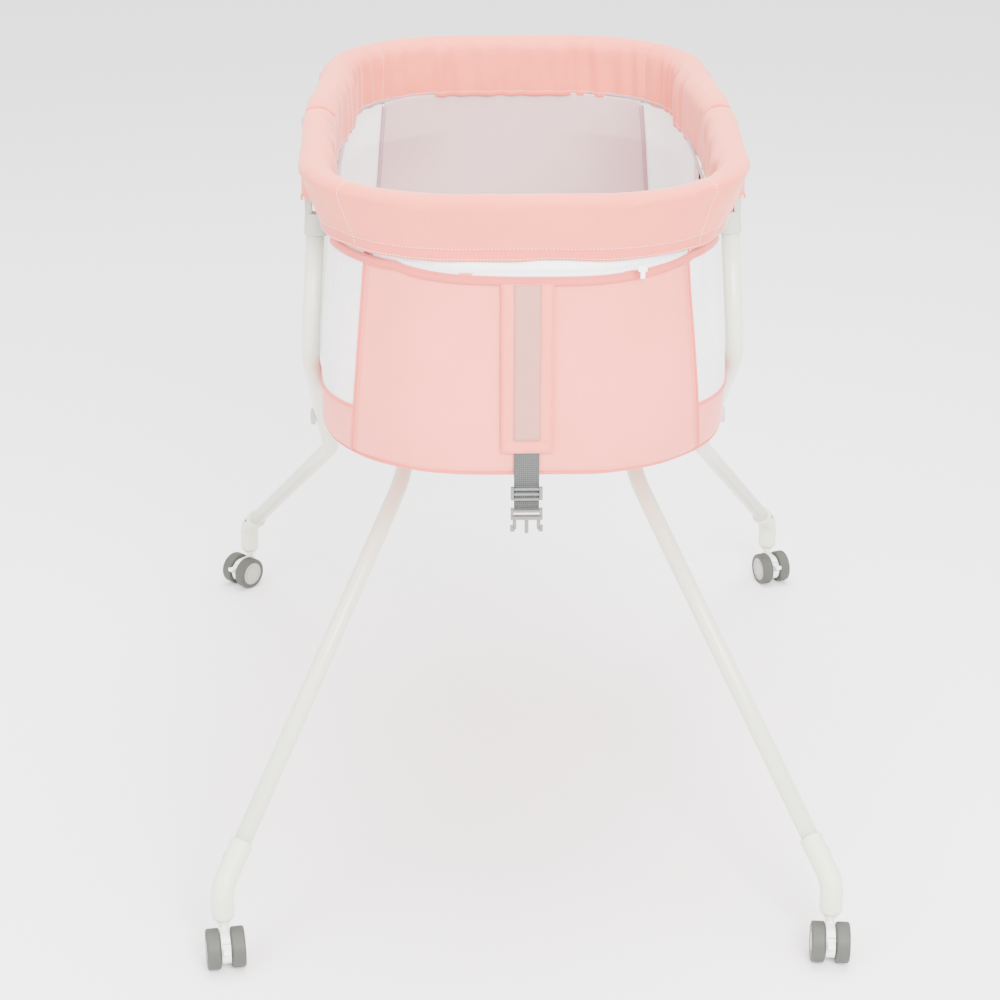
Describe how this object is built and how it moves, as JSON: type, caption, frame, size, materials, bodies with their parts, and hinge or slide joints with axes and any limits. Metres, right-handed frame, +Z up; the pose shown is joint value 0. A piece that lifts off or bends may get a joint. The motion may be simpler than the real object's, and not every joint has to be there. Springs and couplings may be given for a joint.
{
  "type": "bassinet on stand",
  "caption": "Soft-sided baby bassinet with mesh corners on a folding crossed-tube stand with swivel casters.",
  "frame": {"origin": "on the floor under the middle of the crossed frame", "axes": "+Z up, -Y towards the foot end with the strap pocket, +X across the basket to the right seen from that end"},
  "size_m": [0.9329, 1.1459, 0.93],
  "materials": {
    "stand_paint": "satin powder coat",
    "rim_paint": "satin powder coat",
    "zinc_steel": "zinc plated",
    "socket_plastic": "moulded satin",
    "elbow_plastic": "moulded satin",
    "rim_cloth": "woven polyester over foam",
    "basket_cloth": "woven polyester with mesh windows",
    "webbing": "woven webbing",
    "buckle_plastic": "moulded",
    "zipper_white": "coil zipper",
    "board": "fibre board",
    "mattress_cloth": "quilted cover",
    "caster_white": "moulded",
    "caster_tyre": "moulded tread",
    "caster_hub": "moulded"
  },
  "bodies": {
    "carrier": {"axle_rod": "zinc_steel", "axle_caps": "socket_plastic", "pivot_washers": "caster_white", "basket_shell": "basket_cloth", "strap_pocket": "basket_cloth", "webbing_strap": "webbing", "strap_slider": "buckle_plastic", "strap_buckle": "buckle_plastic", "zipper_tape": "zipper_white"},
    "zipper_pull": {"zipper_slider": "zipper_white"},
    "frame_a": {"side_tube_left": "stand_paint", "side_tube_right": "stand_paint", "near_socket_left": "socket_plastic", "near_socket_right": "socket_plastic", "rear_elbow_left": "elbow_plastic", "rear_elbow_right": "elbow_plastic"},
    "frame_b": {"hanger_left": "stand_paint", "hanger_right": "stand_paint", "cross_sleeve": "stand_paint", "front_leg_left": "stand_paint", "front_leg_right": "stand_paint", "far_socket_left": "socket_plastic", "far_socket_right": "socket_plastic", "front_elbow_left": "elbow_plastic", "front_elbow_right": "elbow_plastic"},
    "rim_near": {"rim_tube_near": "rim_paint", "rim_straps_near": "zinc_steel", "rim_pins_near": "zinc_steel", "rim_sleeve_near": "rim_cloth"},
    "rim_far": {"rim_tube_far": "rim_paint", "rim_straps_far": "zinc_steel", "rim_pins_far": "zinc_steel", "rim_hinge_caps": "socket_plastic", "rim_sleeve_far": "rim_cloth"},
    "floor_near": {"floor_board_near": "board", "mattress_near": "mattress_cloth"},
    "floor_far": {"floor_board_far": "board", "mattress_far": "mattress_cloth"},
    "swivel_fl": {"caster_housing_fl": "caster_white", "caster_axle_fl": "zinc_steel"},
    "wheels_fl": {"caster_tyres_fl": "caster_tyre", "caster_hubs_fl": "caster_hub"},
    "brake_fl": {"brake_lever_fl": "caster_white"},
    "swivel_fr": {"caster_housing_fr": "caster_white", "caster_axle_fr": "zinc_steel"},
    "wheels_fr": {"caster_tyres_fr": "caster_tyre", "caster_hubs_fr": "caster_hub"},
    "brake_fr": {"brake_lever_fr": "caster_white"},
    "swivel_rl": {"caster_housing_rl": "caster_white", "caster_axle_rl": "zinc_steel"},
    "wheels_rl": {"caster_tyres_rl": "caster_tyre", "caster_hubs_rl": "caster_hub"},
    "brake_rl": {"brake_lever_rl": "caster_white"},
    "swivel_rr": {"caster_housing_rr": "caster_white", "caster_axle_rr": "zinc_steel"},
    "wheels_rr": {"caster_tyres_rr": "caster_tyre", "caster_hubs_rr": "caster_hub"},
    "brake_rr": {"brake_lever_rr": "caster_white"}
  },
  "joints": [
    {"name": "fold", "type": "hinge", "parent": "carrier", "child": "frame_a", "pos_m": [0, 0, 0.505], "axis": [-1, 0, 0], "range_deg": [0, 12.5], "deforming": ["basket_shell", "rim_sleeve_near", "rim_sleeve_far", "strap_pocket", "webbing_strap", "zipper_tape"]},
    {"name": "fold_b", "type": "hinge", "parent": "carrier", "child": "frame_b", "pos_m": [0, 0, 0.505], "axis": [1, 0, 0], "range_deg": [0, 12.5]},
    {"name": "rim_near_hinge", "type": "hinge", "parent": "frame_a", "child": "rim_near", "pos_m": [0, -0.205, 0.908], "axis": [1, 0, 0], "range_deg": [0, 69.08]},
    {"name": "rim_far_hinge", "type": "hinge", "parent": "frame_b", "child": "rim_far", "pos_m": [0, 0.205, 0.908], "axis": [-1, 0, 0], "range_deg": [0, 69.08]},
    {"name": "floor_near_hinge", "type": "hinge", "parent": "carrier", "child": "floor_near", "pos_m": [0, 0, 0.622], "axis": [-1, 0, 0], "range_deg": [0, 86]},
    {"name": "floor_far_hinge", "type": "hinge", "parent": "carrier", "child": "floor_far", "pos_m": [0, 0, 0.622], "axis": [1, 0, 0], "range_deg": [0, 86]},
    {"name": "zipper_slide", "type": "slide", "parent": "carrier", "child": "zipper_pull", "axis": [-1, 0, 0], "range_m": [0, 0.26]},
    {"name": "swivel_fl_turn", "type": "hinge", "parent": "frame_b", "child": "swivel_fl", "pos_m": [-0.37, -0.525, 0.05], "axis": [0, 0, 1], "continuous": true},
    {"name": "wheels_fl_roll", "type": "hinge", "parent": "swivel_fl", "child": "wheels_fl", "pos_m": [-0.36687, -0.54273, 0.025], "axis": [0.9848, 0.1736, 0], "continuous": true},
    {"name": "brake_fl_press", "type": "hinge", "parent": "swivel_fl", "child": "brake_fl", "pos_m": [-0.36479, -0.55454, 0.034], "axis": [0.9848, 0.1736, 0], "range_deg": [0, 14]},
    {"name": "swivel_fr_turn", "type": "hinge", "parent": "frame_b", "child": "swivel_fr", "pos_m": [0.37, -0.525, 0.05], "axis": [0, 0, 1], "continuous": true},
    {"name": "wheels_fr_roll", "type": "hinge", "parent": "swivel_fr", "child": "wheels_fr", "pos_m": [0.36843, -0.54293, 0.025], "axis": [0.9962, -0.0872, 0], "continuous": true},
    {"name": "brake_fr_press", "type": "hinge", "parent": "swivel_fr", "child": "brake_fr", "pos_m": [0.36739, -0.55489, 0.034], "axis": [0.9962, -0.0872, 0], "range_deg": [0, 14]},
    {"name": "swivel_rl_turn", "type": "hinge", "parent": "frame_a", "child": "swivel_rl", "pos_m": [-0.426, 0.555, 0.05], "axis": [0, 0, 1], "continuous": true},
    {"name": "wheels_rl_roll", "type": "hinge", "parent": "swivel_rl", "child": "wheels_rl", "pos_m": [-0.43804, 0.54162, 0.025], "axis": [0.7431, -0.6691, 0], "continuous": true},
    {"name": "brake_rl_press", "type": "hinge", "parent": "swivel_rl", "child": "brake_rl", "pos_m": [-0.44607, 0.53271, 0.034], "axis": [0.7431, -0.6691, 0], "range_deg": [0, 14]},
    {"name": "swivel_rr_turn", "type": "hinge", "parent": "frame_a", "child": "swivel_rr", "pos_m": [0.426, 0.555, 0.05], "axis": [0, 0, 1], "continuous": true},
    {"name": "wheels_rr_roll", "type": "hinge", "parent": "swivel_rr", "child": "wheels_rr", "pos_m": [0.43216, 0.53809, 0.025], "axis": [0.9397, 0.342, 0], "continuous": true},
    {"name": "brake_rr_press", "type": "hinge", "parent": "swivel_rr", "child": "brake_rr", "pos_m": [0.43626, 0.52681, 0.034], "axis": [0.9397, 0.342, 0], "range_deg": [0, 14]}
  ],
  "couplings": [
    {"joint": "fold_b", "follows": "fold", "ratio": 1},
    {"joint": "rim_near_hinge", "follows": "fold", "ratio": 5.5264},
    {"joint": "rim_far_hinge", "follows": "fold", "ratio": 5.5264},
    {"joint": "floor_near_hinge", "follows": "fold", "ratio": 6.88},
    {"joint": "floor_far_hinge", "follows": "fold", "ratio": 6.88}
  ]
}
